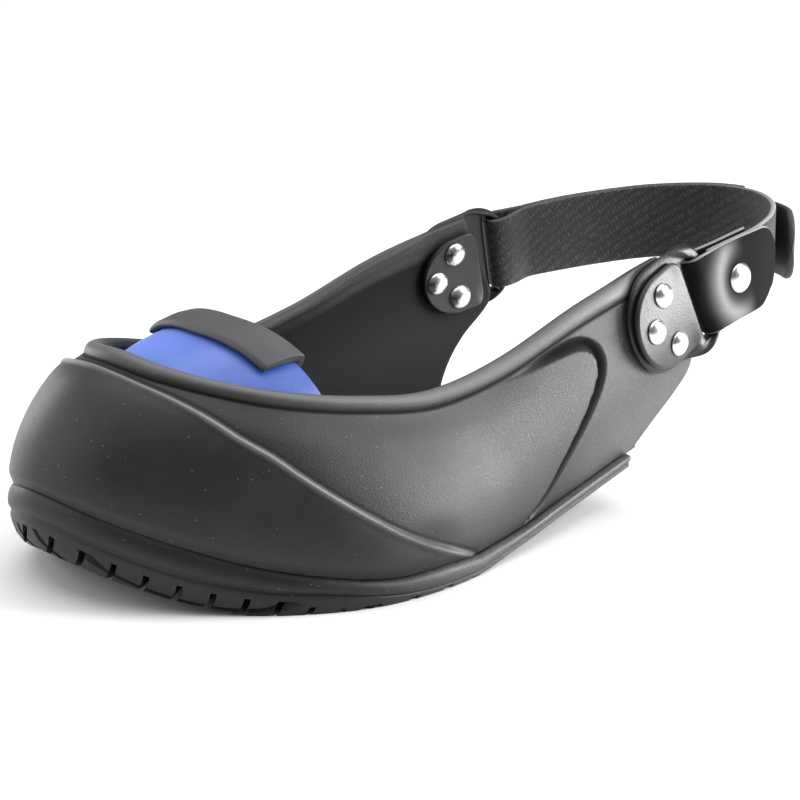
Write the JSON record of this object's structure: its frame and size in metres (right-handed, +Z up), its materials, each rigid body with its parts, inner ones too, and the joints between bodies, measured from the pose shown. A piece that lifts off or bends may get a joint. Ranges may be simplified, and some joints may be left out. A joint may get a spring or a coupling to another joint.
{
  "type": "safety toe overshoe",
  "caption": "Low rubber overshoe with a protective toe cap, open throat and rear, side wings and an adjustable riveted heel strap, worn over another shoe.",
  "frame": {"origin": "middle of the flat part of the tread, on the floor plane", "axes": "+X to the toe, +Y to the wearer's left (lateral side), +Z up from the floor"},
  "size_m": [0.287, 0.1343, 0.082],
  "materials": {
    "tread_rubber": "matt moulded rubber",
    "upper_rubber": "satin moulded rubber",
    "cap_coating": "satin blue coating",
    "guard_rubber": "matt rubber",
    "loop_rubber": "satin rubber",
    "plate_leather": "smooth leather",
    "rivet_metal": "plated domes",
    "tab_leather": "smooth leather",
    "band_webbing": "hook and loop fabric",
    "pull_rubber": "satin rubber"
  },
  "bodies": {
    "root": {"outsole": "tread_rubber", "upper": "upper_rubber", "toe_cap": "cap_coating", "toe_cap_guard": "guard_rubber", "lateral_strap_loop": "loop_rubber", "medial_strap_loop": "loop_rubber", "lateral_outer_plate": "plate_leather", "medial_outer_plate": "plate_leather", "lateral_inner_plate": "plate_leather", "medial_inner_plate": "plate_leather", "lateral_rivet_top": "rivet_metal", "lateral_rivet_front": "rivet_metal", "lateral_rivet_bottom": "rivet_metal", "medial_rivet_top": "rivet_metal", "medial_rivet_front": "rivet_metal", "medial_rivet_bottom": "rivet_metal", "strap_tab": "tab_leather", "tab_rivet": "rivet_metal", "strap_band": "band_webbing", "strap_pull_tab": "pull_rubber"}
  },
  "joints": []
}
